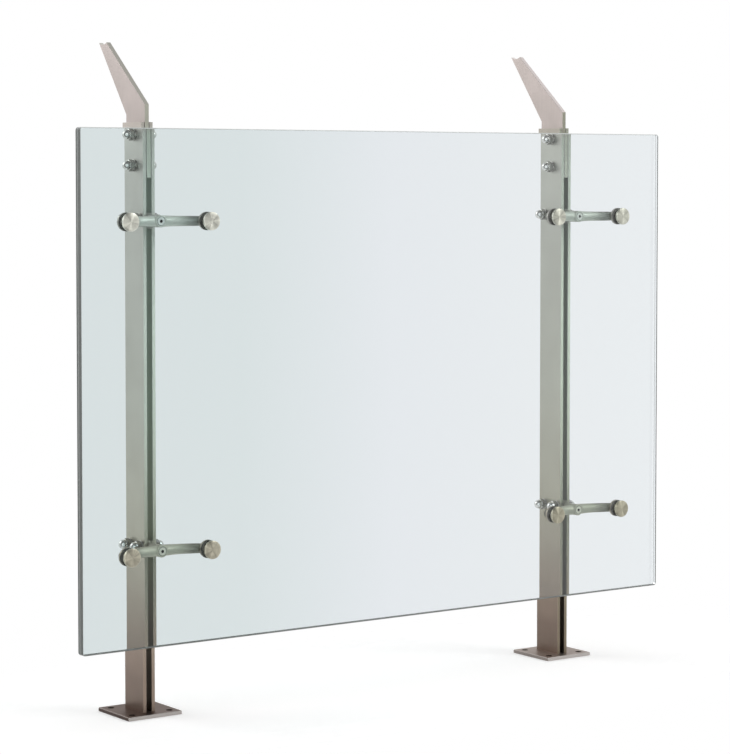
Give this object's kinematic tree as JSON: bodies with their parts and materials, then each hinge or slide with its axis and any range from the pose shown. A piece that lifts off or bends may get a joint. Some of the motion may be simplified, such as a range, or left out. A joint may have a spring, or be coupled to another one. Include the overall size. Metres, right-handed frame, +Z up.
{
  "type": "glass balustrade panel",
  "caption": "Frameless glass balustrade panel, point-clamped by cast spider arms to flat-bar posts with floor plates and leaning handrail brackets.",
  "frame": {"origin": "on the floor, on the posts' centre line, midway between the two posts", "axes": "+X along the panel to the viewer's right, +Y from the glass towards the handrail side, +Z up"},
  "size_m": [1.203, 0.229, 1.104],
  "materials": {
    "glass": "clear float glass with polished edges",
    "plate_steel": "brushed stainless, dark",
    "post_steel": "brushed stainless along the bar",
    "bracket_steel": "satin stainless",
    "cast_steel": "satin cast stainless",
    "turned_steel": "turned stainless",
    "polished_steel": "polished stainless",
    "gasket_rubber": "matt black",
    "sleeve_plastic": "translucent white",
    "shim_plastic": "matt black"
  },
  "bodies": {
    "root": {"glass_panel": "glass", "left_base_plate": "plate_steel", "left_bracket_dome_nuts": "polished_steel", "left_bracket_shims": "shim_plastic", "left_bracket_studs": "polished_steel", "left_bracket_washers": "polished_steel", "left_handrail_bracket": "bracket_steel", "left_inner_bar": "post_steel", "left_outer_bar": "post_steel", "lower_left_clamp_caps": "turned_steel", "lower_left_clamp_gaskets": "gasket_rubber", "lower_left_glass_sleeves": "sleeve_plastic", "lower_left_hub_screw": "polished_steel", "lower_left_rear_discs": "turned_steel", "lower_left_spider_arm": "cast_steel", "lower_left_spider_tongue": "cast_steel", "lower_left_tongue_dome_nuts": "polished_steel", "lower_left_tongue_studs": "polished_steel", "lower_left_tongue_washers": "polished_steel", "lower_right_clamp_caps": "turned_steel", "lower_right_clamp_gaskets": "gasket_rubber", "lower_right_glass_sleeves": "sleeve_plastic", "lower_right_hub_screw": "polished_steel", "lower_right_rear_discs": "turned_steel", "lower_right_spider_arm": "cast_steel", "lower_right_spider_tongue": "cast_steel", "lower_right_tongue_dome_nuts": "polished_steel", "lower_right_tongue_studs": "polished_steel", "lower_right_tongue_washers": "polished_steel", "right_base_plate": "plate_steel", "right_bracket_dome_nuts": "polished_steel", "right_bracket_shims": "shim_plastic", "right_bracket_studs": "polished_steel", "right_bracket_washers": "polished_steel", "right_handrail_bracket": "bracket_steel", "right_inner_bar": "post_steel", "right_outer_bar": "post_steel", "upper_left_clamp_caps": "turned_steel", "upper_left_clamp_gaskets": "gasket_rubber", "upper_left_glass_sleeves": "sleeve_plastic", "upper_left_hub_screw": "polished_steel", "upper_left_rear_discs": "turned_steel", "upper_left_spider_arm": "cast_steel", "upper_left_spider_tongue": "cast_steel", "upper_left_tongue_dome_nuts": "polished_steel", "upper_left_tongue_studs": "polished_steel", "upper_left_tongue_washers": "polished_steel", "upper_right_clamp_caps": "turned_steel", "upper_right_clamp_gaskets": "gasket_rubber", "upper_right_glass_sleeves": "sleeve_plastic", "upper_right_hub_screw": "polished_steel", "upper_right_rear_discs": "turned_steel", "upper_right_spider_arm": "cast_steel", "upper_right_spider_tongue": "cast_steel", "upper_right_tongue_dome_nuts": "polished_steel", "upper_right_tongue_studs": "polished_steel", "upper_right_tongue_washers": "polished_steel"}
  },
  "joints": []
}
